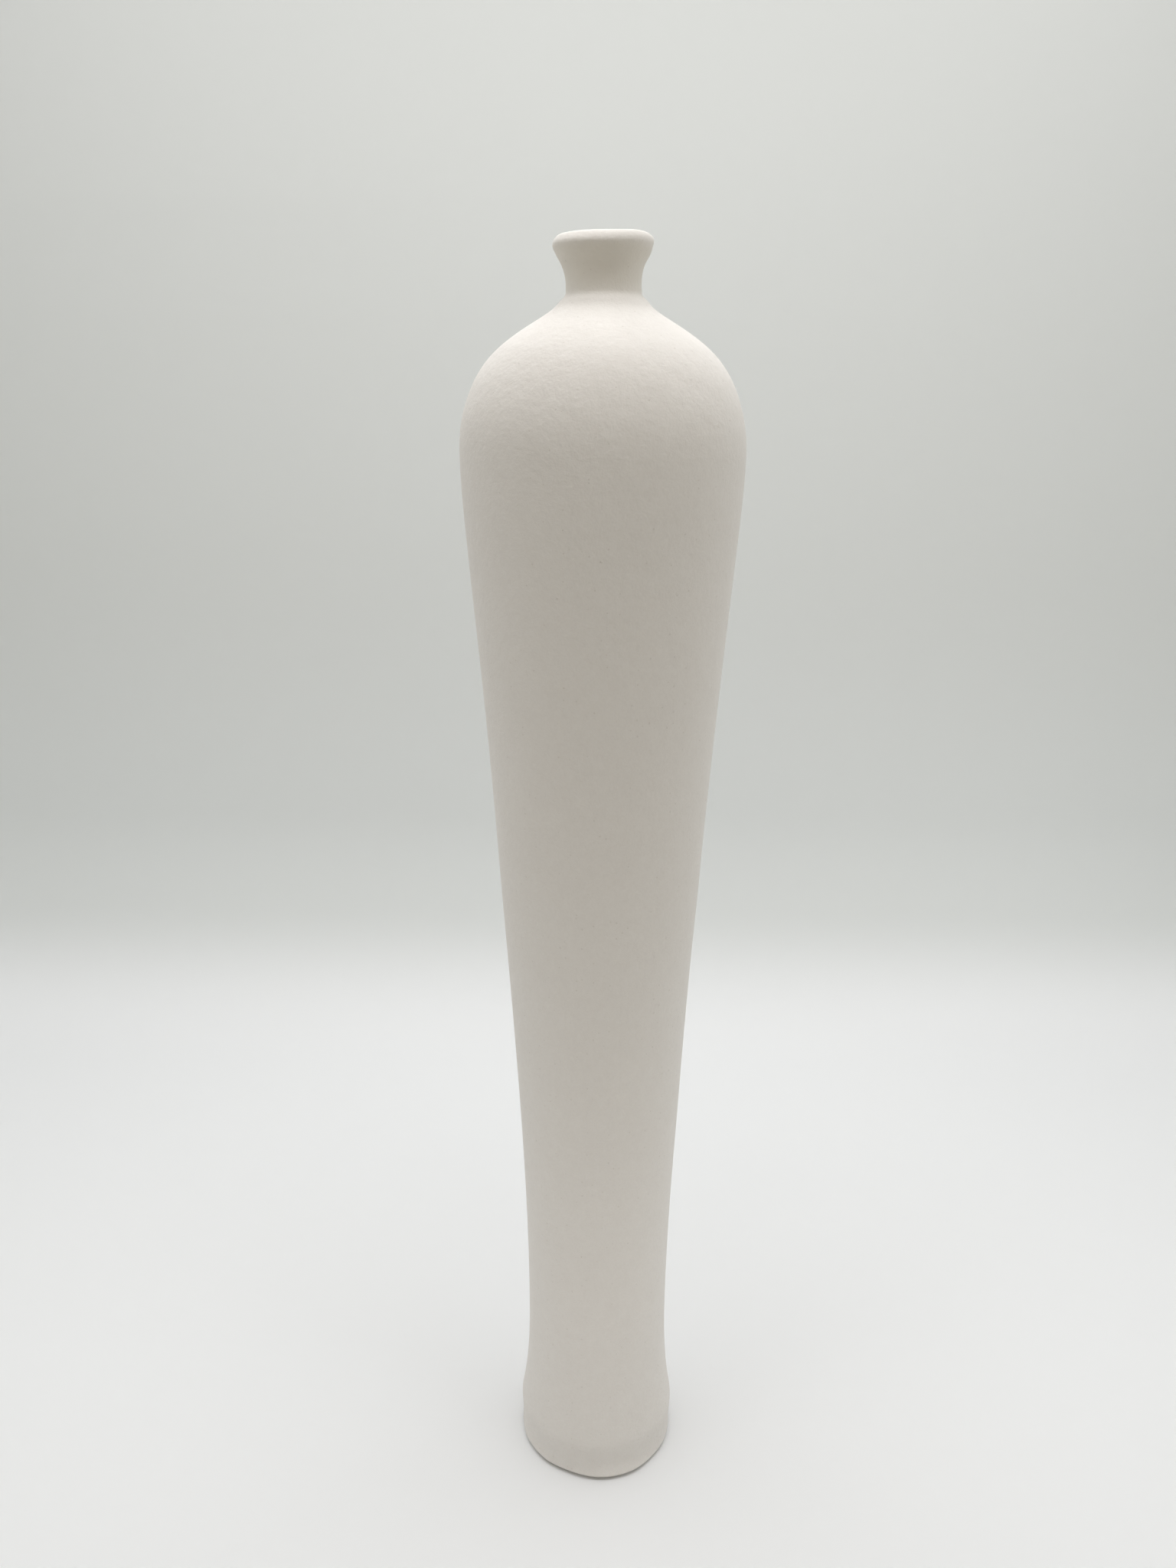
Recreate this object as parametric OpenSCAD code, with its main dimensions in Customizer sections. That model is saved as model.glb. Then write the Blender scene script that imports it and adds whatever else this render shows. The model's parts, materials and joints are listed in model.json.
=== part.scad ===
// Tall slender ceramic bud vase, bare outside and glazed inside.
// It is formed as separate clay pieces that are luted one on another before firing:
// each seam is a V-shaped ridge of the upper piece seated in a groove of the lower one.
// Millimetres, +Z up, origin at the middle of the foot's underside.

/* [Overall] */
// Height from the table to the top of the lip
height = 360; // [300:1:420]

/* [Foot] */
// Diameter of the foot just above its rounded bottom edge
foot_d = 47.4; // [46.4:0.1:48]
// Diameter of the foot at its bulge
bulge_d = 48.2; // [48:0.1:50]
// Height of the bulge above the table
bulge_z = 11.8; // [11:0.1:14]
// Radius of the rounded bottom edge
foot_round = 0.8; // [0.4:0.1:1.2]
// Diameter of the hollow under the foot
hollow_d = 36; // [32:0.5:37]
// Depth of the hollow under the foot
hollow_h = 3; // [2:0.5:4]
// Thickness of the base slab
slab_t = 5.5; // [4:0.5:6]

/* [Body] */
// Diameter at the waist above the foot
waist_d = 43.1; // [42:0.1:46]
// Height of the waist
waist_z = 46.5; // [40:0.5:60]
// Diameter at the widest point, below the shoulder
body_d = 72.4; // [68:0.1:76]
// Depth of the widest point below the top of the lip
body_drop = 52.5; // [50:0.5:58]
// Thickness of the clay wall at the foot
wall_low = 4.4; // [3.6:0.1:5]
// Thickness of the clay wall at the widest point
wall_high = 3.6; // [3:0.1:4]

/* [Neck] */
// Outside diameter of the neck at its narrowest
neck_d = 18.7; // [18.2:0.1:20]
// Depth of the neck's narrowest point below the top of the lip
neck_drop = 11.2; // [11:0.1:12]
// Diameter of the glazed throat
throat_d = 12; // [10:0.1:12.4]
// Outside diameter of the flared lip
lip_d = 24.9; // [24:0.1:26]
// Radius of the lip's round edge
lip_round = 1.7; // [1.4:0.1:1.9]

/* [Glaze and seams] */
// Thickness of the fired liner glaze
glaze_t = 0.3; // [0.2:0.05:0.5]
// Depth of the V seat in each seam
seat = 1; // [0.6:0.1:1.4]

/* [Hidden] */
$fn = 128;
span_steps = 8;
bisque = [0.93, 0.91, 0.87];
glaze = [0.96, 0.95, 0.92];

foot_r = foot_d / 2;
bulge_r = bulge_d / 2;
waist_r = waist_d / 2;
body_r = body_d / 2;
neck_r = neck_d / 2;
throat_r = throat_d / 2 + glaze_t;
floor_z = hollow_h + slab_t;
body_z = height - body_drop;
neck_z = height - neck_drop;

// The foot's bulge turns into the waist's hollow curve a little above its widest point
foot_top_z = bulge_z + 3.8;
foot_top_r = bulge_r - 0.5;

// The body swells from the waist to the spring of the shoulder, with a seam half way up
spring_z = body_z - 22.5;
spring_r = body_r - 1.4;
seam_z = (waist_z + spring_z) / 2;
seam_swell = 0.35;
seam_r = waist_r + seam_swell * (spring_r - waist_r);

// The shoulder comes in by dome_w over the height dome_h
dome_w = body_r - neck_r;
dome_h = neck_z - body_z;
function dome(up, out, lean) = [body_z + up * dome_h, neck_r + out * dome_w, lean];

// The lip's edge is round about lip_c; the outside and the mouth lean out by these angles
flare = 26.5;
mouth_flare = 35;
lip_c = [lip_d / 2 - lip_round, height - lip_round];
function on_lip(a) = lip_c + lip_round * [cos(a), sin(a)];
lip_low = on_lip(-flare);
lip_h = 2.95;
lip_root_z = lip_low[1] - lip_h;
lip_root_r = lip_low[0] - lip_h * tan(flare);

// Stations of the outside: height, radius, and change of radius with height
outline = [
    [foot_round, foot_r, 0],
    [bulge_z, bulge_r, 0],
    [foot_top_z, foot_top_r, -0.15],
    [waist_z, waist_r, 0],
    [seam_z, seam_r, 0.0575],
    [spring_z, spring_r, 0.083],
    [body_z, body_r, 0],
    dome(0.387, 0.90, -0.38),
    dome(0.613, 0.68, -1.0),
    dome(0.775, 0.343, -1.66),
    dome(0.915, 0.04, -0.75),
    [neck_z, neck_r, 0],
    [lip_root_z, lip_root_r, tan(flare)],
    [lip_low[1], lip_low[0], tan(flare)]
];

// Which station each seam or bend is at
foot_top = 2;
mid_seam = 4;
spring = 5;
throat_root = 9;
neck_root = 10;
lip_root = 12;
lip_edge = 13;

// The throat is straight between these heights, and opens above them into the mouth
neck_root_z = outline[neck_root][0];
throat_low = neck_root_z - 1.5;
throat_top = neck_z + 2.2;
throat_rim = [throat_r, neck_root_z];

// Cubic between stations a and b, at the share t of the way
function hermite_r(a, b, t) =
    let (h = b[0] - a[0])
    (1 + 2 * t) * pow(1 - t, 2) * a[1] + t * pow(1 - t, 2) * h * a[2]
    + pow(t, 2) * (3 - 2 * t) * b[1] + pow(t, 2) * (t - 1) * h * b[2];
function hermite_lean(a, b, t) =
    let (h = b[0] - a[0])
    6 * t * (t - 1) * (a[1] - b[1]) / h
    + (1 - t) * (1 - 3 * t) * a[2] + t * (3 * t - 2) * b[2];

// Point at depth d under the outside, square to it, t of the way from station i
function under(i, t, d) =
    let (a = outline[i], b = outline[i + 1],
         lean = hermite_lean(a, b, t), n = sqrt(1 + lean * lean))
    [hermite_r(a, b, t) - d / n, a[0] + t * (b[0] - a[0]) + d * lean / n];

// Thickness of the clay at height z
function wall(z) =
    wall_low + (wall_high - wall_low) * (z - bulge_z) / (body_z - bulge_z);

// Points from station i to station j, at the wall's outside or at its inside plus e
function outside(i, j) =
    [for (k = [0 : span_steps * (j - i)])
        let (s = min(floor(k / span_steps), j - i - 1))
        under(i + s, k / span_steps - s, 0)];
function inside(i, j, e = 0) =
    [for (k = [0 : span_steps * (j - i)])
        let (s = min(floor(k / span_steps), j - i - 1),
             t = k / span_steps - s,
             z = outline[i + s][0] + t * (outline[i + s + 1][0] - outline[i + s][0]))
        under(i + s, t, wall(z) + e)];

// Curve of four control points, from the share u to the share v of the way
function bezier(p, t) =
    pow(1 - t, 3) * p[0] + 3 * t * pow(1 - t, 2) * p[1]
    + 3 * pow(t, 2) * (1 - t) * p[2] + pow(t, 3) * p[3];
function curve(p, u, v) = [for (k = [0 : span_steps]) bezier(p, u + (v - u) * k / span_steps)];

// How far the end tangents reach in the two curves below
long_reach = 6;
short_reach = 3;

// Under the neck, the inside of the shoulder turns up into the throat
function turn_up(e) =
    let (lean = outline[throat_root][2],
         low = under(throat_root, 0, wall(outline[throat_root][0]) + e),
         high = [throat_r - e, throat_low])
    [low, low + long_reach * [lean, 1] / norm([lean, 1]), high - [0, short_reach], high];

// Above the throat, the mouth flares out to meet the lip's round edge
function mouth(e) =
    let (low = [throat_r - e, throat_top],
         rim = on_lip(180 - mouth_flare) + e * [-cos(mouth_flare), sin(mouth_flare)])
    [low, low + [0, short_reach], rim - short_reach * [sin(mouth_flare), cos(mouth_flare)], rim];

// Shares of the way up the mouth of the lip's seam and of the glaze's edge
mouth_seam = 0.55;
glaze_line = 0.8;

// Middle of a seam, pushed down along the wall by the depth of the seat
function seat_point(out, in) =
    let (across = (out - in) / norm(out - in))
    (out + in) / 2 + seat * [across[1], -across[0]];
function reversed(list) = [for (k = [len(list) - 1 : -1 : 0]) list[k]];
function last(list) = list[len(list) - 1];
function rest(list) = [for (k = [1 : len(list) - 1]) list[k]];

// Ring of clay between an outside and an inside run, both listed upwards
module ring(out, in, seat_low = true, seat_high = true) {
    low = seat_low ? [seat_point(out[0], in[0])] : [];
    high = seat_high ? [seat_point(last(out), last(in))] : [];
    rotate_extrude()
        polygon(concat(out, high, reversed(in), low));
}

inner_foot = under(foot_top, 0, wall(outline[foot_top][0]));

module foot_ring() {
    bottom_edge = [for (a = [-90 : 15 : -15])
        [foot_r - foot_round, foot_round] + foot_round * [cos(a), sin(a)]];
    ledge = [[hollow_d / 2, 0], [hollow_d / 2, hollow_h], [inner_foot[0], hollow_h], inner_foot];
    color(bisque)
        ring(concat(bottom_edge, outside(0, foot_top)), ledge, seat_low = false);
}

module base_slab() {
    color(bisque)
        translate([0, 0, hollow_h])
            cylinder(h = slab_t, r = inner_foot[0]);
}

module lower_wall() {
    color(bisque)
        ring(outside(foot_top, mid_seam), inside(foot_top, mid_seam));
}

module upper_wall() {
    color(bisque)
        ring(outside(mid_seam, spring), inside(mid_seam, spring));
}

module shoulder() {
    color(bisque)
        ring(outside(spring, neck_root),
             concat(inside(spring, throat_root), rest(curve(turn_up(0), 0, 1)), [throat_rim]));
}

module neck() {
    color(bisque)
        ring(outside(neck_root, lip_root), concat([throat_rim], curve(mouth(0), 0, mouth_seam)));
}

module lip() {
    round_edge = [for (a = [-18 : 12 : 138]) on_lip(a)];
    color(bisque)
        ring(concat(outside(lip_root, lip_edge), round_edge),
             curve(mouth(0), mouth_seam, 1), seat_high = false);
}

// Skin of glaze over the slab, the walls, the throat and the lower mouth
module liner_glaze() {
    function skin(e) = concat(
        [[0, floor_z + e], [inner_foot[0] - e, floor_z + e]],
        inside(foot_top, throat_root, e),
        rest(curve(turn_up(e), 0, 1)),
        curve(mouth(e), 0, mouth_seam),
        rest(curve(mouth(e), mouth_seam, glaze_line)));
    color(glaze)
        rotate_extrude()
            polygon(concat(skin(0), reversed(skin(glaze_t))));
}

foot_ring();
base_slab();
lower_wall();
upper_wall();
shoulder();
neck();
lip();
liner_glaze();
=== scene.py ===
"""Looks of a tall ceramic bud vase: turned clay pieces with the unevenness of hand work."""
import json
import math
import bmesh
import bpy
import numpy as np
from mathutils import Matrix, Vector


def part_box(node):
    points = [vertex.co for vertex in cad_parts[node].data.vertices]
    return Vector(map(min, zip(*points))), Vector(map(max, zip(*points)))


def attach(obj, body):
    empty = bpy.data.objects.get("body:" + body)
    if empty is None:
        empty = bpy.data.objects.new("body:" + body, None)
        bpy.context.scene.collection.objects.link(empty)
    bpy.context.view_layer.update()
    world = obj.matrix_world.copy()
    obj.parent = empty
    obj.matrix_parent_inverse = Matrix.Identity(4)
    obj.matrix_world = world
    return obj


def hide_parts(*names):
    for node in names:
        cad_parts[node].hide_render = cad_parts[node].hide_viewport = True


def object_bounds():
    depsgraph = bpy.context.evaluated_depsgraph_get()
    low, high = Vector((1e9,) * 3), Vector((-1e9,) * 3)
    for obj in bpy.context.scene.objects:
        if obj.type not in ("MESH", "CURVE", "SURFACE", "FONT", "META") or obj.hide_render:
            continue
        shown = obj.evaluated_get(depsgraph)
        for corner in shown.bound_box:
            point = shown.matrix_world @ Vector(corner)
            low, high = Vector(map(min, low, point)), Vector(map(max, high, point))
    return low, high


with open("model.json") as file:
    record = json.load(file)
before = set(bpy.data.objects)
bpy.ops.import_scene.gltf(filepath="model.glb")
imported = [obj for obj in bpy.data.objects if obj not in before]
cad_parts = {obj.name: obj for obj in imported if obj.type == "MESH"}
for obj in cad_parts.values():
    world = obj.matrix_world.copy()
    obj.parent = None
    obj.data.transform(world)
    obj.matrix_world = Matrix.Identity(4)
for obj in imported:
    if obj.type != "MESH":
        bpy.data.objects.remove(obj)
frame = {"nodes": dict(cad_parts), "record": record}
cad_low, cad_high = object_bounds()

MM = 0.001
HEIGHT = cad_high.z
CLAY_NODES = ["foot_ring", "base_slab", "lower_wall", "upper_wall", "shoulder", "neck", "lip"]
FOOT_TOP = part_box("foot_ring")[1].z
FOOT_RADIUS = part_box("foot_ring")[1].x
SHOULDER_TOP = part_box("shoulder")[1].z
SLAB_LOW, SLAB_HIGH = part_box("base_slab")[0].z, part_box("base_slab")[1].z
SLAB_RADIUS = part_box("base_slab")[1].x


# ---------------------------------------------------------------- outlines of the CAD pieces

SAME_POINT = 0.01 * MM
STRAIGHT = math.radians(0.04)
CORNER = math.radians(25)


def cut_edges(node):
    """Edges, as pairs of [radius, height] points, where the half plane y = 0, x > 0 cuts a node."""
    mesh = bmesh.new()
    mesh.from_mesh(frame["nodes"][node].data)
    bmesh.ops.remove_doubles(mesh, verts=mesh.verts, dist=SAME_POINT / 10)
    cut = bmesh.ops.bisect_plane(
        mesh, geom=[*mesh.verts, *mesh.edges, *mesh.faces], dist=SAME_POINT / 10,
        plane_co=(0, 0, 0), plane_no=(0, 1, 0))["geom_cut"]
    mesh.verts.index_update()
    edges = [[(v.index, (v.co.x, v.co.z)) for v in e.verts]
             for e in cut if isinstance(e, bmesh.types.BMEdge)
             and all(v.co.x > -SAME_POINT / 10 for v in e.verts)]
    mesh.free()
    return edges


def turn_angles(points):
    """Angle that a closed outline turns through at each of its points."""
    ahead = np.roll(points, -1, axis=0) - points
    behind = points - np.roll(points, 1, axis=0)
    cross = behind[:, 0] * ahead[:, 1] - behind[:, 1] * ahead[:, 0]
    return np.arctan2(cross, (behind * ahead).sum(1))


def outline(node):
    """The node's half section as a closed loop of [radius, height] points, anticlockwise."""
    places, links = {}, {}
    for (i, a), (j, b) in cut_edges(node):
        places[i], places[j] = a, b
        links.setdefault(i, []).append(j)
        links.setdefault(j, []).append(i)
    loose_ends = [i for i in links if len(links[i]) == 1]
    start = min(loose_ends or links, key=lambda i: places[i][::-1])
    path, came_from = [start], None
    while True:
        onward = [i for i in links[path[-1]] if i != came_from]
        if not onward or onward[0] == start:
            break
        came_from = path[-1]
        path.append(onward[0])
    points = [places[i] for i in path]
    if loose_ends:
        points = [(0.0, points[0][1]), *points, (0.0, points[-1][1])]
    points = np.array(points)
    apart = np.linalg.norm(points - np.roll(points, 1, axis=0), axis=1) > SAME_POINT
    points = points[apart]
    points = points[np.abs(turn_angles(points)) > STRAIGHT]
    r, z = points.T
    if (r * np.roll(z, -1) - z * np.roll(r, -1)).sum() < 0:
        points = points[::-1]
    return points


def runs_of(points):
    """A closed outline split at its corners: each run is an array of points, ends included."""
    corners = np.flatnonzero(np.abs(turn_angles(points)) > CORNER)
    ends = [*corners[1:], corners[0] + len(points)]
    return [points[np.arange(a, b + 1) % len(points)] for a, b in zip(corners, ends)]


runs = {node: runs_of(outline(node)) for node in frame["nodes"]}


# ---------------------------------------------------------------- smooth outlines

FINEST_TURN = math.radians(5)
MUCH_LONGER = 6


def unit(vector):
    """The same direction, 1 long."""
    return vector / np.linalg.norm(vector)


def continued(node, end, inner):
    """Next point of the neighbouring piece's run that goes smoothly on past this end, or None."""
    for other, other_runs in runs.items():
        if other == node or (other == "liner_glaze") != (node == "liner_glaze"):
            continue
        for run in [*other_runs, *[r[::-1] for r in other_runs]]:
            if np.linalg.norm(run[0] - end) < SAME_POINT:
                if unit(run[1] - run[0]) @ unit(end - inner) > math.cos(CORNER):
                    return run[1]
    return None


def smooth_run(node, run, step):
    """Cubic through a run's points, no coarser than step or FINEST_TURN, without its last point."""
    straight = len(run) == 2
    before = None if straight else continued(node, run[0], run[1])
    after = None if straight else continued(node, run[-1], run[-2])
    knots = np.vstack([run[:0] if before is None else before, run,
                       run[:0] if after is None else after])
    lengths = np.linalg.norm(np.diff(knots, axis=0), axis=1)
    slopes = np.diff(knots, axis=0) / lengths[:, None]
    short, long = lengths[:-1, None], lengths[1:, None]
    inner = (slopes[:-1] * long + slopes[1:] * short) / (short + long)
    inner = np.where(long > MUCH_LONGER * short, slopes[1:], inner)
    inner = np.where(short > MUCH_LONGER * long, slopes[:-1], inner)
    first = 2 * slopes[0] - inner[0] if len(inner) else slopes[0]
    last = 2 * slopes[-1] - inner[-1] if len(inner) else slopes[-1]
    tangents = np.vstack([first, inner, last])
    begin = 0 if before is None else 1
    points = []
    for k in range(begin, begin + len(run) - 1):
        turn = math.acos(min(1, unit(tangents[k]) @ unit(tangents[k + 1])))
        count = math.ceil(max(lengths[k] / step, turn / FINEST_TURN))
        t = np.linspace(0, 1, count, endpoint=False)[:, None]
        leave, arrive = lengths[k] * tangents[k], lengths[k] * tangents[k + 1]
        points.append((1 + 2 * t) * (1 - t) ** 2 * knots[k] + t * (1 - t) ** 2 * leave
                      + t ** 2 * (3 - 2 * t) * knots[k + 1] + t ** 2 * (t - 1) * arrive)
    return np.vstack(points)


# ---------------------------------------------------------------- unevenness of hand work

def ease(value, low, high):
    """0 below low, 1 above high, and smooth between."""
    t = np.clip((value - low) / (high - low), 0, 1)
    return t * t * (3 - 2 * t)


def hump(value, middle, width):
    """1 at the middle, falling softly away over about width on both sides."""
    return np.exp(-((value - middle) / width) ** 2)


def apart(angle, other):
    """Signed angle from other to angle, by the short way round."""
    return np.angle(np.exp(1j * (angle - other)))


def lobes(angle, height, waves):
    """Sum of waves round and up the vase: (size, lobes round, turns per metre of height, phase)."""
    return sum(size * np.cos(count * angle + 2 * math.pi * twist * height + phase)
               for size, count, twist, phase in waves)


# Sizes without a unit are in mm, angles in radians. A pair of heights, radii or depths is where
# a mark fades
BODY_WAVES = [(0.07, 2, 1.1, 0.6), (0.05, 3, -2.3, 2.1), (0.035, 5, 3.7, 4.0), (0.03, 1, 8.0, 1.3)]
FOOT_WAVES = [(0.11, 4, 0, 0.4), (0.07, 7, 9, 2.6), (0.05, 11, -14, 5.1)]
FOOT_WAVES_FADE = (0.4 * FOOT_TOP, 1.6 * FOOT_TOP)
LIP_WAVES = [(0.10, 2, 0, 2.2), (0.07, 3, 0, 0.3), (0.04, 7, 0, 4.4)]
RIM_WAVES = [(0.07, 3, 0, 1.9), (0.05, 5, 0, 3.3)]
# Soft swells of the outline: (size, angle, height, width round in radians, width up)
SWELLS = [
    (0.22, math.pi, 0.190, 1.0, 28 * MM), (0.12, math.pi, 0.278, 0.9, 18 * MM),
    (0.40, math.radians(-130), 0.317, 1.3, 9 * MM), (0.20, math.radians(-20), 0.315, 0.9, 9 * MM),
    (0.16, 0.0, 0.283, 0.9, 26 * MM), (0.14, 0.0, 0.190, 0.9, 12 * MM),
    (0.14, 0.0, 0.118, 0.9, 20 * MM), (0.45, 0.0, HEIGHT - 4.4 * MM, 0.9, 1.7 * MM),
]
# The soft crease where the neck is luted on, and the roll of clay pushed up under it
CREASE_HEIGHT, CREASE_WIDTH, CREASE_DEPTH = SHOULDER_TOP + 1.1 * MM, 1.0 * MM, 0.26
ROLL_HEIGHT, ROLL_WIDTH, ROLL_SIZE = SHOULDER_TOP - 0.3 * MM, 1.2 * MM, 0.34
# The rim's rounded band is taller than in the CAD model, but less tall on the right
RIM_BAND, RIM_BAND_FADE = 2.4 * MM, 8 * MM
RIM_DROP = 0.38
RIM_RAISED, RIM_RAISED_ROUND = 0.8, 0.35
# Clay is pared off the band towards its top, most at the front, and on the left more than on
# the right. The fade is over how far left a point is, from -1 to 1
PARED_TOP = HEIGHT + 0.3 * MM
LIP_PARED, LIP_PARED_FADE = 0.3, (-0.9, 1)
FRONT_PARED, FRONT_PARED_ANGLE, FRONT_PARED_ROUND = 0.56, math.radians(-100), math.radians(40)
# The neck and the lip lean and sit a little off the axis
LEAN_TOP = HEIGHT - 3 * MM
LIP_LEAN = math.radians(0.8)
LIP_SHIFT = -0.35 * MM
# The foot's outer edge is worn clear of the table, most at the front, under a faint groove
EDGE_LIFT, EDGE_LIFT_VARIES, EDGE_LIFT_ANGLE = 0.85, 0.15, math.radians(-120)
EDGE_LIFT_HEIGHTS = (0.5 * MM, 3 * MM)
EDGE_LIFT_RADII = (0.89 * FOOT_RADIUS, 0.97 * FOOT_RADIUS)
GROOVE_HEIGHT, GROOVE_WIDTH, GROOVE_DEPTH = 7 * MM, 2.5 * MM, 0.1
# It spreads a little where it stands: (size, angle, width round in radians)
SPREAD_HEIGHT, SPREAD_WIDTH = 0.6 * MM, 3 * MM
SPREAD = [(0.9, math.radians(-145), math.radians(28)), (1.4, math.radians(-72), math.radians(38)),
          (-0.20, math.radians(-117), math.radians(11))]
# Rings left by throwing inside the walls, and by trimming on the slab
THROWING_PITCH, THROWING_DEPTH = 6.5 * MM, 0.16 * MM
THROWING_LOW = (SLAB_HIGH, SLAB_HIGH + 20 * MM)
THROWING_HIGH = (SHOULDER_TOP - 25 * MM, SHOULDER_TOP)
TRIM_PITCH, TRIM_DEPTH = 2.4 * MM, 0.07 * MM
TRIM_HIGH = (SLAB_HIGH, SLAB_HIGH + 3 * MM)
TRIM_MIDDLE = (0, 2 * MM)
TRIM_EDGE = (0.85 * SLAB_RADIUS, 0.93 * SLAB_RADIUS)
# Depths under the outside where its marks give way to those inside, and where the rim's fade
HOLLOW_DEPTHS = (1 * MM, 3 * MM)
RIM_DEPTHS = (0.8 * MM, 3.2 * MM)
# Radii up to which the moves die out towards the axis, and the least one they are shared over
AXIS_FADE = (0, 5 * MM)
LEAST_RADIUS = 1 * MM


def outer_radius(z):
    """Radius of the outside at each height, read from the clay pieces' outlines."""
    widest = np.zeros_like(z)
    for node in CLAY_NODES:
        for run in runs[node]:
            for (r0, z0), (r1, z1) in zip(run[:-1], run[1:]):
                if abs(z1 - z0) > SAME_POINT:
                    t = (z - z0) / (z1 - z0)
                    on_edge = (t >= 0) & (t <= 1)
                    widest = np.where(on_edge, np.maximum(widest, r0 + t * (r1 - r0)), widest)
    return widest


SKIN_HEIGHTS = np.linspace(0, HEIGHT, 1441)
SKIN_RADII = outer_radius(SKIN_HEIGHTS)


def skin_marks(angle, z):
    """How far the outside stands out, in mm: swells, crease, roll, groove and the foot's spread."""
    out = -CREASE_DEPTH * hump(z, CREASE_HEIGHT, CREASE_WIDTH)
    out += ROLL_SIZE * hump(z, ROLL_HEIGHT, ROLL_WIDTH)
    out -= GROOVE_DEPTH * hump(z, GROOVE_HEIGHT, GROOVE_WIDTH)
    for size, at_angle, at_height, round_width, up_width in SWELLS:
        out += size * hump(apart(angle, at_angle), 0, round_width) * hump(z, at_height, up_width)
    low = hump(z, SPREAD_HEIGHT, SPREAD_WIDTH)
    for size, at_angle, round_width in SPREAD:
        out += size * hump(apart(angle, at_angle), 0, round_width) * low
    return out


def pared(angle, z):
    """How much clay is pared off the rim, in mm."""
    amount = LIP_PARED * ease(-np.cos(angle), *LIP_PARED_FADE)
    amount += FRONT_PARED * hump(apart(angle, FRONT_PARED_ANGLE), 0, FRONT_PARED_ROUND)
    return amount * ease(z, HEIGHT - RIM_BAND, PARED_TOP)


def rim_drop(angle, z):
    """How far the rim's rounded band is drawn down, in mm."""
    band = np.clip((HEIGHT - z) / RIM_BAND, 0, 1)
    band *= ease(z, HEIGHT - RIM_BAND_FADE, HEIGHT - RIM_BAND)
    return (RIM_DROP - RIM_RAISED * hump(apart(angle, 0), 0, RIM_RAISED_ROUND)) * band


def edge_lift(angle, radius, z):
    """How far the foot's outer edge is worn up, in mm."""
    lift = EDGE_LIFT + EDGE_LIFT_VARIES * np.cos(angle - EDGE_LIFT_ANGLE)
    return lift * (1 - ease(z, *EDGE_LIFT_HEIGHTS)) * ease(radius, *EDGE_LIFT_RADII)


def throwing_rings(angle, z):
    """Spiral rings inside the walls, in metres."""
    between = ease(z, *THROWING_LOW) * (1 - ease(z, *THROWING_HIGH))
    return THROWING_DEPTH * np.sin(2 * math.pi * z / THROWING_PITCH + angle) * between


def trimming_rings(angle, radius, z):
    """Spiral rings on the slab, in metres."""
    near_slab = ease(z, 0, SLAB_LOW) * (1 - ease(z, *TRIM_HIGH))
    in_slab = ease(radius, *TRIM_MIDDLE) * (1 - ease(radius, *TRIM_EDGE))
    return TRIM_DEPTH * np.sin(2 * math.pi * radius / TRIM_PITCH + angle) * near_slab * in_slab


def hand_made(points):
    """Points anywhere in the vase, moved by one smooth field, so that the seams stay shut."""
    x, y, z = points.T
    radius = np.hypot(x, y)
    angle = np.arctan2(y, x)
    depth = np.interp(z, SKIN_HEIGHTS, SKIN_RADII) - radius
    off_axis = ease(radius, *AXIS_FADE)
    in_hollow = ease(depth, *HOLLOW_DEPTHS)
    at_rim = 1 - ease(depth, *RIM_DEPTHS)
    on_lip = ease(z, SHOULDER_TOP, HEIGHT)

    out = lobes(angle, z, BODY_WAVES)
    out += lobes(angle, z, FOOT_WAVES) * (1 - ease(z, *FOOT_WAVES_FADE))
    out += lobes(angle, z, LIP_WAVES) * on_lip
    out += skin_marks(angle, z) * (1 - in_hollow)
    out -= pared(angle, z) * at_rim
    out *= MM * off_axis
    out += throwing_rings(angle, z) * in_hollow

    up = lobes(angle, z, RIM_WAVES) * on_lip - rim_drop(angle, z) * at_rim
    up *= MM * off_axis
    up += edge_lift(angle, radius, z) * MM
    up += trimming_rings(angle, radius, z)

    scale = 1 + out / np.maximum(radius, LEAST_RADIUS)
    lean = ease(z, SHOULDER_TOP, LEAN_TOP)
    return np.column_stack([x * scale + LIP_SHIFT * lean, y * scale,
                            z + up + x * math.tan(LIP_LEAN) * lean])


# ---------------------------------------------------------------- turned pieces

SEGMENTS = 192
STEPS = {"shoulder": 0.5 * MM, "neck": 0.35 * MM, "lip": 0.5 * MM, "liner_glaze": 2.6 * MM}
USUAL_STEP = 1.2 * MM


def faces_between(low, high, low_is_pole, high_is_pole):
    """Faces between two rings of points. A ring on the axis is one point, repeated."""
    next_low, next_high = np.roll(low, -1), np.roll(high, -1)
    if low_is_pole and high_is_pole:
        return []
    if low_is_pole:
        return [*zip(low, next_high, high)]
    if high_is_pole:
        return [*zip(low, next_low, high)]
    return [*zip(low, next_low, next_high, high)]


def mark_corners(mesh, rings, corner_rows):
    """Makes the edges round the corners of the outline sharp."""
    ring_of = np.zeros(len(mesh.vertices), int)
    for k, ring in enumerate(rings):
        ring_of[ring] = k
    ends = np.zeros(2 * len(mesh.edges), int)
    mesh.edges.foreach_get("vertices", ends)
    row = ring_of[ends].reshape(-1, 2)
    sharp = (row[:, 0] == row[:, 1]) & np.isin(row[:, 0], corner_rows)
    mesh.edges.foreach_set("use_edge_sharp", sharp)


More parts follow.
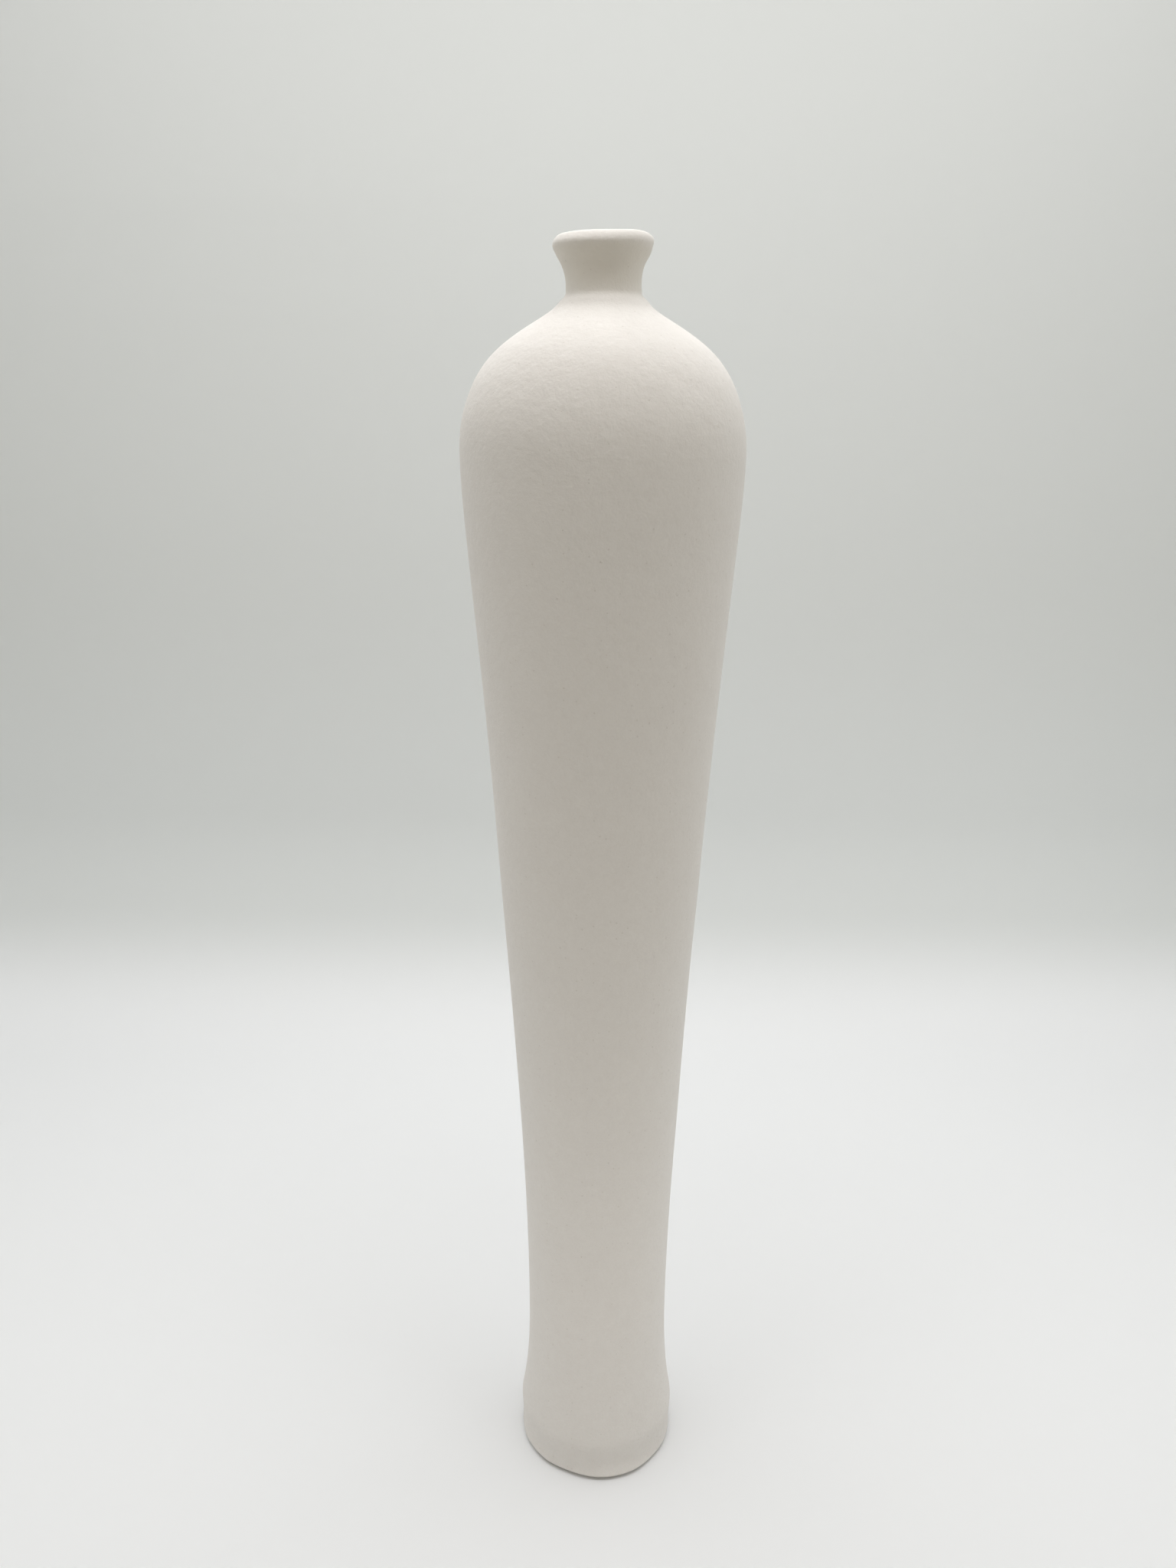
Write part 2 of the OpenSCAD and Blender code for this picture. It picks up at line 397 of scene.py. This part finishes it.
def turned(node, step):
    """Mesh of the closed solid turned from a node's smoothed outline, made uneven by hand."""
    parts = [smooth_run(node, run, step) for run in runs[node]]
    profile = np.vstack(parts)
    corner_rows = np.cumsum([0, *[len(part) for part in parts[:-1]]])
    angles = np.arange(SEGMENTS) * 2 * math.pi / SEGMENTS
    on_axis = profile[:, 0] < SAME_POINT
    rings, points = [], []
    for (r, z), pole in zip(profile, on_axis):
        if pole:
            rings.append(np.full(SEGMENTS, len(points)))
            points.append([0.0, 0.0, z])
        else:
            rings.append(len(points) + np.arange(SEGMENTS))
            points.extend(np.column_stack([r * np.cos(angles), r * np.sin(angles),
                                           np.full(SEGMENTS, z)]))
    faces = []
    for k in range(len(rings)):
        n = (k + 1) % len(rings)
        faces += faces_between(rings[k], rings[n], on_axis[k], on_axis[n])
    mesh = bpy.data.meshes.new(node + "_turned")
    mesh.from_pydata(hand_made(np.array(points)), [], faces)
    mesh.polygons.foreach_set("use_smooth", np.ones(len(mesh.polygons), bool))
    mark_corners(mesh, rings, corner_rows)
    mesh.update()
    return mesh


# ---------------------------------------------------------------- materials

class Nodes:
    """Builds one node material. A value passed to a method is a number or another node's socket."""

    def __init__(self, name):
        self.material = bpy.data.materials.new(name)
        self.material.use_nodes = True
        self.tree = self.material.node_tree
        self.tree.nodes.clear()

    def add(self, kind, inputs, **settings):
        node = self.tree.nodes.new("ShaderNode" + kind)
        for key, value in settings.items():
            setattr(node, key, value)
        for key, value in inputs.items():
            if isinstance(value, bpy.types.NodeSocket):
                self.tree.links.new(value, node.inputs[key])
            else:
                node.inputs[key].default_value = value
        return node

    def place(self):
        """Where a point is on the vase, in metres."""
        return self.add("TexCoord", {}).outputs["Object"]

    def math(self, operation, a, b=0.0, c=0.0):
        return self.add("Math", {0: a, 1: b, 2: c}, operation=operation).outputs[0]

    def noise(self, place, size, detail=2.0, roughness=0.5):
        """Soft random value round 0, with features about size across."""
        inputs = {"Vector": place, "Scale": 1 / size, "Detail": detail, "Roughness": roughness}
        return self.math("SUBTRACT", self.add("TexNoise", inputs).outputs[0], 0.5)

    def stretch(self, place, x, y, z):
        return self.add("VectorMath", {0: place, 1: (x, y, z)}, operation="MULTIPLY").outputs[0]

    def cells(self, place, size):
        """Points scattered about size apart: distance to the nearest, in sizes, and its colour."""
        found = self.add("TexVoronoi", {"Vector": place, "Scale": 1 / size})
        return found.outputs["Distance"], found.outputs["Color"]

    def fade(self, value, low, high, out_low=0.0, out_high=1.0):
        """out_low up to low, out_high from high, and smooth between. High may be below low."""
        inputs = {0: value, 1: low, 2: high, 3: out_low, 4: out_high}
        return self.add("MapRange", inputs, interpolation_type="SMOOTHSTEP").outputs[0]

    def total(self, *terms):
        """Sum of share * value over the pairs given."""
        result = 0.0
        for share, value in terms:
            result = self.math("MULTIPLY_ADD", value, share, result)
        return result

    def mix(self, share, a, b):
        """Colour a where share is 0 and b where it is 1."""
        node = self.add("Mix", {0: share, 6: a, 7: b}, data_type="RGBA")
        return node.outputs[2]

    def bump(self, height):
        """Normal for a surface of that height in millimetres."""
        return self.add("Bump", {"Height": height, "Distance": MM, "Strength": 1.0}).outputs[0]

    def finish(self, shader):
        self.add("OutputMaterial", {"Surface": shader.outputs[0]})
        return self.material


CLAY_PALE = (0.815, 0.787, 0.753, 1)
CLAY_DEEP = (0.775, 0.742, 0.708, 1)
# Painted shade under the lip: the neck's colour is made a little deeper and warmer, fading in and
# out between these heights
NECK_PAINTED_SHADE, NECK_SHADE_SHARE = (0.745, 0.713, 0.655, 1), 0.8
NECK_SHADE_LOW = (SHOULDER_TOP - 1 * MM, SHOULDER_TOP + 4 * MM)
NECK_SHADE_HIGH = (HEIGHT - 1.5 * MM, HEIGHT - 4 * MM)
# Colour of the iron specks, also used as painted shade in the pinholes and along the nick
CLAY_SPECK_AND_PIT_SHADE = (0.47, 0.43, 0.37, 1)
# Colour of the darker band along the foot's bottom edge
CLAY_FOOT_EDGE_BAND = (0.60, 0.575, 0.53, 1)
# A hair-thin nick in the shoulder: its two ends, as angle round the vase and height
NICK = ((math.radians(-70.5), 0.3226), (math.radians(-71.5), 0.3202))
NICK_HALF_WIDTH = 0.09 * MM


def on_skin(angle, height):
    """Point on the outside of the CAD model."""
    radius = float(np.interp(height, SKIN_HEIGHTS, SKIN_RADII))
    return Vector((radius * math.cos(angle), radius * math.sin(angle), height))


def distance_to_line(nodes, place, a, b):
    """Distance from the line between the points a and b, in metres."""
    line = b - a
    from_a = nodes.add("VectorMath", {0: place, 1: a}, operation="SUBTRACT").outputs[0]
    along = nodes.add("VectorMath", {0: from_a, 1: line / line.length_squared},
                      operation="DOT_PRODUCT").outputs["Value"]
    share = nodes.add("Clamp", {0: along}).outputs[0]
    foot = nodes.add("VectorMath", {0: line, "Scale": share}, operation="SCALE").outputs[0]
    return nodes.add("VectorMath", {0: from_a, 1: foot}, operation="DISTANCE").outputs["Value"]


def bisque():
    """Unglazed sanded clay: powdery grain, pinholes and a nick darkened with painted shade, a few
    iron specks, a darker band along the foot's bottom edge, and painted shade on the neck.
    """
    nodes = Nodes("bisque")
    place = nodes.place()
    height = nodes.add("SeparateXYZ", {0: place}).outputs[2]

    clouds = nodes.noise(place, 28 * MM, 2)
    patches = nodes.noise(place, 4.5 * MM, 2)
    mottle = nodes.noise(place, 1.6 * MM, 3, 0.6)
    grain = nodes.noise(place, 0.55 * MM, 2, 0.6)
    sanding = nodes.noise(nodes.stretch(place, 0.12, 0.12, 1), 0.9 * MM, 2)

    hole_distance, hole_colour = nodes.cells(place, 1.5 * MM)
    hole_share = nodes.add("SeparateColor", {0: hole_colour}).outputs[0]
    hole_size = nodes.fade(hole_share, 0.55, 1, 0, 0.17)
    pinhole = nodes.math("LESS_THAN", hole_distance, hole_size)
    speck_distance, speck_colour = nodes.cells(place, 7 * MM)
    speck_share = nodes.add("SeparateColor", {0: speck_colour}).outputs[1]
    speck_size = nodes.fade(speck_share, 0.62, 1, 0, 0.03)
    speck = nodes.fade(nodes.math("SUBTRACT", speck_distance, speck_size), 0.012, -0.012)
    nick = nodes.fade(distance_to_line(nodes, place, *[on_skin(*end) for end in NICK]),
                      1.6 * NICK_HALF_WIDTH, 0.4 * NICK_HALF_WIDTH)

    tone = nodes.total((0.35, clouds), (0.3, patches), (0.6, mottle), (0.9, grain))
    colour = nodes.mix(nodes.fade(tone, -0.5, 0.5), CLAY_DEEP, CLAY_PALE)
    # Painted shade: the neck under the lip is darkened and warmed in its colour
    neck_shade = nodes.math("MULTIPLY", nodes.fade(height, *NECK_SHADE_LOW),
                         nodes.fade(height, *NECK_SHADE_HIGH))
    colour = nodes.mix(nodes.math("MULTIPLY", neck_shade, NECK_SHADE_SHARE), colour, NECK_PAINTED_SHADE)
    # Painted shade in the pinholes
    colour = nodes.mix(nodes.math("MULTIPLY", pinhole, 0.22), colour, CLAY_SPECK_AND_PIT_SHADE)
    colour = nodes.mix(nodes.math("MULTIPLY", speck, 0.5), colour, CLAY_SPECK_AND_PIT_SHADE)
    # Painted shade along the nick
    colour = nodes.mix(nodes.math("MULTIPLY", nick, 0.45), colour, CLAY_SPECK_AND_PIT_SHADE)
    # Darker band along the foot's bottom edge, its top wandering with the patches
    foot_edge_band = nodes.fade(nodes.math("MULTIPLY_ADD", patches, 2 * MM, height), 1.6 * MM, 0.1 * MM)
    colour = nodes.mix(nodes.math("MULTIPLY", foot_edge_band, 0.45), colour, CLAY_FOOT_EDGE_BAND)

    relief = nodes.total((0.17, patches), (0.14, mottle), (0.055, grain), (0.012, sanding),
                         (-0.03, pinhole), (-0.05, nick))
    rough = nodes.total((0.25, mottle), (0.2, patches))
    shader = nodes.add("BsdfPrincipled", {
        "Base Color": colour, "Roughness": nodes.fade(rough, -0.15, 0.15, 0.94, 0.80),
        "Diffuse Roughness": 0.5, "Specular IOR Level": 0.35, "Normal": nodes.bump(relief)})
    return nodes.finish(shader)


GLAZE_PALE = (0.86, 0.85, 0.80, 1)
GLAZE_POOLED = (0.66, 0.67, 0.60, 1)
GLAZE_CRAZE = (0.50, 0.45, 0.37, 1)


def liner_glaze():
    """Thin satin glaze over the clay: soft ripple, deeper where it pools, and finely crazed."""
    nodes = Nodes("liner_glaze")
    place = nodes.place()
    height = nodes.add("SeparateXYZ", {0: place}).outputs[2]
    ripple = nodes.noise(place, 5 * MM, 2)
    peel = nodes.noise(place, 1.1 * MM, 1)
    crack = nodes.add("TexVoronoi", {"Vector": place, "Scale": 1 / (4 * MM)},
                      feature="DISTANCE_TO_EDGE").outputs["Distance"]
    craze = nodes.fade(crack, 0.022, 0.004)
    pooled = nodes.fade(nodes.math("MULTIPLY_ADD", ripple, 30 * MM, height),
                        SLAB_HIGH + 24 * MM, SLAB_HIGH, 0.12, 0.8)
    colour = nodes.mix(nodes.total((1, pooled), (0.35, ripple)), GLAZE_PALE, GLAZE_POOLED)
    colour = nodes.mix(nodes.math("MULTIPLY", craze, 0.3), colour, GLAZE_CRAZE)
    shader = nodes.add("BsdfPrincipled", {
        "Base Color": colour, "Roughness": nodes.fade(peel, -0.2, 0.2, 0.16, 0.30),
        "Normal": nodes.bump(nodes.total((0.10, ripple), (0.02, peel), (-0.01, craze)))})
    return nodes.finish(shader)


FINISHES = {"bisque": bisque(), "liner_glaze": liner_glaze()}

slots = {part["node"]: part["material_slot"] for part in frame["record"]["subparts"]}
for node in frame["nodes"]:
    finish = slots[node]
    piece = bpy.data.objects.new(node + "_piece", turned(node, STEPS.get(node, USUAL_STEP)))
    bpy.context.scene.collection.objects.link(piece)
    piece.data.materials.append(FINISHES[finish])
    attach(piece, "root")
    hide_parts(node)


# ---------------------------------------------------------------- stage

TENT_HALF_DEPTH = 0.325
TENT_HALF_WIDTH = 0.44
TENT_HEIGHT = 0.64
COVE_RADIUS = 0.10
TENT_SQUARENESS = 14
TENT_SEGMENTS = 192
FLOOR_COLOUR = (0.915, 0.92, 0.93, 1)
LOW_WALL_COLOUR = (0.725, 0.74, 0.73, 1)
WALL_COLOUR = (0.67, 0.68, 0.665, 1)
# The cloth is LOW_WALL_COLOUR from the first of these heights to the second, WALL_COLOUR above
LOW_WALL_FROM, LOW_WALL_TO, WALL_FROM = 0.5 * COVE_RADIUS, 0.8 * COVE_RADIUS, 2.5 * COVE_RADIUS
FRONT_COLOUR = (0.275, 0.248, 0.195, 1)


def tent_cloth():
    """Matt cloth, seen only from inside: pale floor, greyer walls, dim and warm in front."""
    nodes = Nodes("tent_cloth")
    _, y, z = nodes.add("SeparateXYZ", {0: nodes.place()}).outputs
    in_front = nodes.fade(y, -0.85 * TENT_HALF_DEPTH, -TENT_HALF_DEPTH)
    colour = nodes.mix(nodes.fade(z, 0, LOW_WALL_FROM), FLOOR_COLOUR, LOW_WALL_COLOUR)
    colour = nodes.mix(nodes.fade(z, LOW_WALL_TO, WALL_FROM), colour, WALL_COLOUR)
    colour = nodes.mix(in_front, colour, FRONT_COLOUR)
    cloth = nodes.add("BsdfDiffuse", {"Color": colour})
    clear = nodes.add("BsdfTransparent", {})
    outside = nodes.add("NewGeometry", {}).outputs["Backfacing"]
    one_sided = nodes.add("MixShader", {0: outside, 1: cloth.outputs[0], 2: clear.outputs[0]})
    return nodes.finish(one_sided)


def make_tent():
    """Light tent: a floor that curves up into four walls, open at the top."""
    # Each row is how far out from the walls' line it is, and its height: floor, cove, walls
    rows = [(-share * COVE_RADIUS, 0) for share in (2.5, 2, 1.5, 1)]
    rows += [(COVE_RADIUS * (math.sin(a) - 1), COVE_RADIUS * (1 - math.cos(a)))
             for a in np.linspace(0, math.pi / 2, 25)[1:]]
    rows += [(0, z) for z in np.linspace(COVE_RADIUS, TENT_HEIGHT, 8)[1:]]
    plan = []
    for k in range(TENT_SEGMENTS):
        a = 2 * math.pi * k / TENT_SEGMENTS
        across, along = math.cos(a), math.sin(a)
        plan.append([math.copysign(abs(v) ** (2 / TENT_SQUARENESS), v) for v in (across, along)])
    points = [((TENT_HALF_WIDTH + inset) * x, (TENT_HALF_DEPTH + inset) * y, z)
              for inset, z in rows for x, y in plan]
    faces = [tuple(range(TENT_SEGMENTS))]
    for k in range(len(rows) - 1):
        for j in range(TENT_SEGMENTS):
            n = (j + 1) % TENT_SEGMENTS
            low, high = k * TENT_SEGMENTS, (k + 1) * TENT_SEGMENTS
            faces.append((low + j, high + j, high + n, low + n))
    mesh = bpy.data.meshes.new("tent")
    mesh.from_pydata(points, [], faces)
    mesh.polygons.foreach_set("use_smooth", np.ones(len(mesh.polygons), bool))
    mesh.materials.append(tent_cloth())
    mesh.update()
    tent = bpy.data.objects.new("tent", mesh)
    bpy.context.scene.collection.objects.link(tent)


make_tent()


def area_light(name, place, aim, size, power):
    """Rectangular light that the camera doesn't see."""
    light = bpy.data.lights.new(name, "AREA")
    light.shape = "RECTANGLE"
    light.size, light.size_y = size
    light.energy = power
    lamp = bpy.data.objects.new(name, light)
    lamp.location = place
    lamp.rotation_mode = "QUATERNION"
    lamp.rotation_quaternion = (Vector(aim) - Vector(place)).to_track_quat("-Z", "Y")
    lamp.visible_camera = False
    bpy.context.scene.collection.objects.link(lamp)


# Soft lights over and inside the tent: place, what it aims at, width and depth, and watts
LIGHTS = {
    "ceiling_mid": ((0, 0, 0.63), (0, 0, 0), (0.25, 0.25), 0.68),
    "ceiling_front": ((0, -0.12, 0.63), (0, -0.12, 0), (0.3, 0.1), 0.38),
    "ceiling_back": ((0, 0.22, 0.63), (0, 0.22, 0), (0.5, 0.15), 0.25),
    "ceiling_left": ((-0.28, 0, 0.63), (-0.28, 0, 0), (0.2, 0.5), 0.39),
    "ceiling_right": ((0.28, 0, 0.63), (0.28, 0, 0), (0.2, 0.5), 0.44),
    "front_floor": ((0, -0.20, 0.004), (0, -0.20, 1), (0.5, 0.2), 0.18),
    "front_low": ((0, -0.315, 0.06), (0, 0, 0.03), (0.5, 0.1), 0.13),
    "right_floor": ((0.22, 0, 0.004), (0.22, 0, 1), (0.15, 0.5), 0.06),
}
for name, (place, aim, size, power) in LIGHTS.items():
    area_light(name, place, aim, size, power)

WORLD_STRENGTH = 0.60
world = bpy.data.worlds.new("studio")
world.use_nodes = True
world.node_tree.nodes["Background"].inputs[0].default_value = (1, 1, 1, 1)
world.node_tree.nodes["Background"].inputs[1].default_value = WORLD_STRENGTH
bpy.context.scene.world = world
bpy.context.scene.view_settings.view_transform = "Standard"


# ---------------------------------------------------------------- camera

# Distance in front of the vase's axis, and height above the table. The camera looks along +Y,
# pitched down, turned a little left and rolled anticlockwise. Its lens and sensor are in mm
CAMERA_BACK = 0.31107
CAMERA_UP = 0.31907
PITCH = math.radians(17.5)
YAW = math.radians(0.640)
ROLL = math.radians(0.192)
LENS = 27.035
SENSOR = 36


def make_camera():
    data = bpy.data.cameras.new("camera")
    data.lens = LENS
    data.sensor_width = SENSOR
    data.clip_start = 0.01
    data.clip_end = 10
    camera = bpy.data.objects.new("camera", data)
    bpy.context.scene.collection.objects.link(camera)
    forward = np.array([-math.sin(YAW) * math.cos(PITCH), math.cos(YAW) * math.cos(PITCH),
                        -math.sin(PITCH)])
    level = np.array([math.cos(YAW), math.sin(YAW), 0])
    above = np.cross(level, forward)
    right = math.cos(ROLL) * level + math.sin(ROLL) * above
    up = -math.sin(ROLL) * level + math.cos(ROLL) * above
    turn = Matrix(np.column_stack([right, up, -forward]).tolist())
    camera.matrix_world = Matrix.Translation((0, -CAMERA_BACK, CAMERA_UP)) @ turn.to_4x4()
    bpy.context.scene.camera = camera


make_camera()
